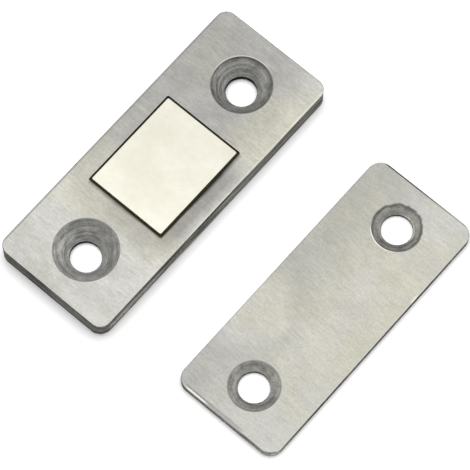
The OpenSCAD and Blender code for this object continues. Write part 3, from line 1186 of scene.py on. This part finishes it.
magnet_edge = magnet_size["Face Edge"]
lower_rings = []
for step in range(ROUND_STEPS + 1):
    turn = step / ROUND_STEPS * math.pi / 2
    inset = magnet_edge * (1 - math.sin(turn))
    height = magnet_edge * (1 - math.cos(turn))
    corner = magnet_size["Corner Radius"] - inset
    length = magnet_size["Length"] - 2 * inset
    width = magnet_size["Width"] - 2 * inset
    lower_rings.append(loop(length, width, corner, height))
upper_rings = []
for ring in reversed(lower_rings):
    upper_rings.append([Vector((p.x, p.y, magnet_size["Thickness"] - p.z)) for p in ring])
magnet = stacked("magnet_block", lower_rings + upper_rings, foot("magnet"), nickel_plating("nickel_plating"))
tidy(magnet)

# %% [markdown]
# The magnet is set in the window with dark resin. Resin wets both walls and sinks between them, so its top is
# a shallow trough. It is built as one cup: up the outside, across the trough, down the magnet and over the
# bed below it.

# %% The adhesive
TROUGH_STEPS = 6
TROUGH_SAG = 0.12
LUMP_DEPTH = 0.02


def dark_resin(name):
    """Cured resin, nearly black, with a warm sheen and small lumps."""
    material, tree, shader, mm = new_finish(name, 0.0)
    shader.inputs["Specular Tint"].default_value = (1.0, 0.93, 0.7, 1.0)
    lumps = noise(tree, evenly(tree, mm, 0.9), 3.0)
    colour = blend(tree, lumps, (0.014, 0.012, 0.006, 1.0), (0.042, 0.036, 0.020, 1.0))
    finish(tree, shader, colour, ramp(tree, lumps, 0.3, 0.7, 0.45, 0.65), lumps, LUMP_DEPTH)
    return material


bed_top = (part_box("magnet")[0].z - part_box("adhesive")[0].z) / MM
outer = loop(window_size["Length"], window_size["Width"], window_size["Corner Radius"], 0.0)
inner = loop(magnet_size["Length"], magnet_size["Width"], magnet_size["Corner Radius"], 0.0)
resin_rings = [outer]
for step in range(TROUGH_STEPS + 1):
    share = step / TROUGH_STEPS
    level = window_size["Thickness"] - TROUGH_SAG * 4 * share * (1 - share)
    between = [a.lerp(b, share) for a, b in zip(outer, inner)]
    resin_rings.append([Vector((p.x, p.y, level)) for p in between])
resin_rings.append([Vector((p.x, p.y, bed_top)) for p in inner])
adhesive = stacked("resin_bed", resin_rings, foot("adhesive"), dark_resin("dark_resin"))
tidy(adhesive)

# %% [markdown]
# Each piece hangs from the root and takes the place of its CAD node, which is hidden. Beside each stands the
# slot that a repaint would use, though nothing here sets it.

# %% Put the pieces on the frame
for piece, node, slot in (
    (magnet_plate, "magnet_plate", "plate_steel"),
    (magnet, "magnet", "magnet_nickel"),
    (adhesive, "adhesive", "cured_adhesive"),
    (strike_plate, "strike_plate", "strike_steel"),
):
    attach(piece, "root")
    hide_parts(node)
    print(piece.name, "stands for", node)

# %% [markdown]
# The photo was taken on white paper under soft light, bright enough to lose the paper's own shading. A small
# object shows its metal by what it mirrors, so the sky here is bright above and dim at the horizon, apart
# from two opposite sides, where it is brightest. The paper lies a little below the backs, because real plates
# never lie quite flat, and that draws a thin dark line under their sides.

# %% Paper, light and sky
PAPER_SIZE = 6.0
PAPER_DROP = 0.0002
PAPER_GREY = 0.67
LIGHT_AIM = Vector((0.0, -0.0125, 0.0))
BRIGHT_SIDES = (0.654, -0.757, 0.0)
HORIZON_DIM = 0.55
HORIZON_BRIGHT = 1.3
ZENITH = 1.05


def area_light(name, aim, azimuth, elevation, distance, size, power):
    """A square soft light that looks at a point from a compass direction, counted from +X towards +Y."""
    light = bpy.data.lights.new(name, "AREA")
    light.shape = "SQUARE"
    light.size = size
    light.energy = power
    lamp = bpy.data.objects.new(name, light)
    around = math.radians(azimuth)
    up = math.radians(elevation)
    back = Vector((math.cos(around) * math.cos(up), math.sin(around) * math.cos(up), math.sin(up)))
    lamp.location = aim + back * distance
    lamp.rotation_euler = back.to_track_quat("Z", "Y").to_euler()
    bpy.context.scene.collection.objects.link(lamp)
    return lamp


bpy.ops.mesh.primitive_plane_add(size=PAPER_SIZE, location=(0.0, 0.0, -PAPER_DROP))
paper = bpy.context.object
paper.name = "paper"
white = bpy.data.materials.new("white_paper")
white.use_nodes = True
paper_shader = white.node_tree.nodes["Principled BSDF"]
paper_shader.inputs["Base Color"].default_value = grey(PAPER_GREY)
paper_shader.inputs["Roughness"].default_value = 0.9
paper.data.materials.append(white)

top_light = area_light(
    "top_light", LIGHT_AIM, azimuth=30.0, elevation=80.0, distance=0.8, size=0.7, power=7.5)
top_light.visible_glossy = False

world = bpy.data.worlds.new("studio")
world.use_nodes = True
bpy.context.scene.world = world
sky = world.node_tree
direction = add(sky, "ShaderNodeTexCoord").outputs["Generated"]
beside = calc(sky, "ABSOLUTE", along(sky, direction, BRIGHT_SIDES))
horizon = ramp(sky, beside, 0.6, 0.95, HORIZON_DIM, HORIZON_BRIGHT)
glow = ramp(sky, parts(sky, direction)["Z"], 0.05, 0.65, horizon, ZENITH)
background = sky.nodes["Background"]
background.inputs["Color"].default_value = grey(1.0)
sky.links.new(glow, background.inputs["Strength"])
bpy.context.scene.view_settings.view_transform = "Standard"
print("paper, one softbox and the sky are set")

# %% [markdown]
# The camera was worked out from the edges and holes in the photo. It looks steeply down from the near left,
# through a long lens.

# %% Camera
VIEW_AZIMUTH = math.radians(-49.158)
VIEW_ELEVATION = math.radians(68.931)
VIEW_DISTANCE = 0.387196
VIEW_TARGET = Vector((-0.000333, -0.011773, 0.0))
FOCAL_PIXELS = 3142.524
PICTURE_PIXELS = 470
SENSOR = 36.0

lens = bpy.data.cameras.new("camera")
lens.sensor_width = SENSOR
lens.lens = FOCAL_PIXELS / PICTURE_PIXELS * SENSOR
camera = bpy.data.objects.new("camera", lens)
back = Vector((
    math.sin(VIEW_AZIMUTH) * math.cos(VIEW_ELEVATION),
    -math.cos(VIEW_AZIMUTH) * math.cos(VIEW_ELEVATION),
    math.sin(VIEW_ELEVATION),
))
camera.location = VIEW_TARGET + back * VIEW_DISTANCE
camera.rotation_euler = back.to_track_quat("Z", "Y").to_euler()
bpy.context.scene.collection.objects.link(camera)
bpy.context.scene.camera = camera
print("camera lens", round(lens.lens, 1), "mm")
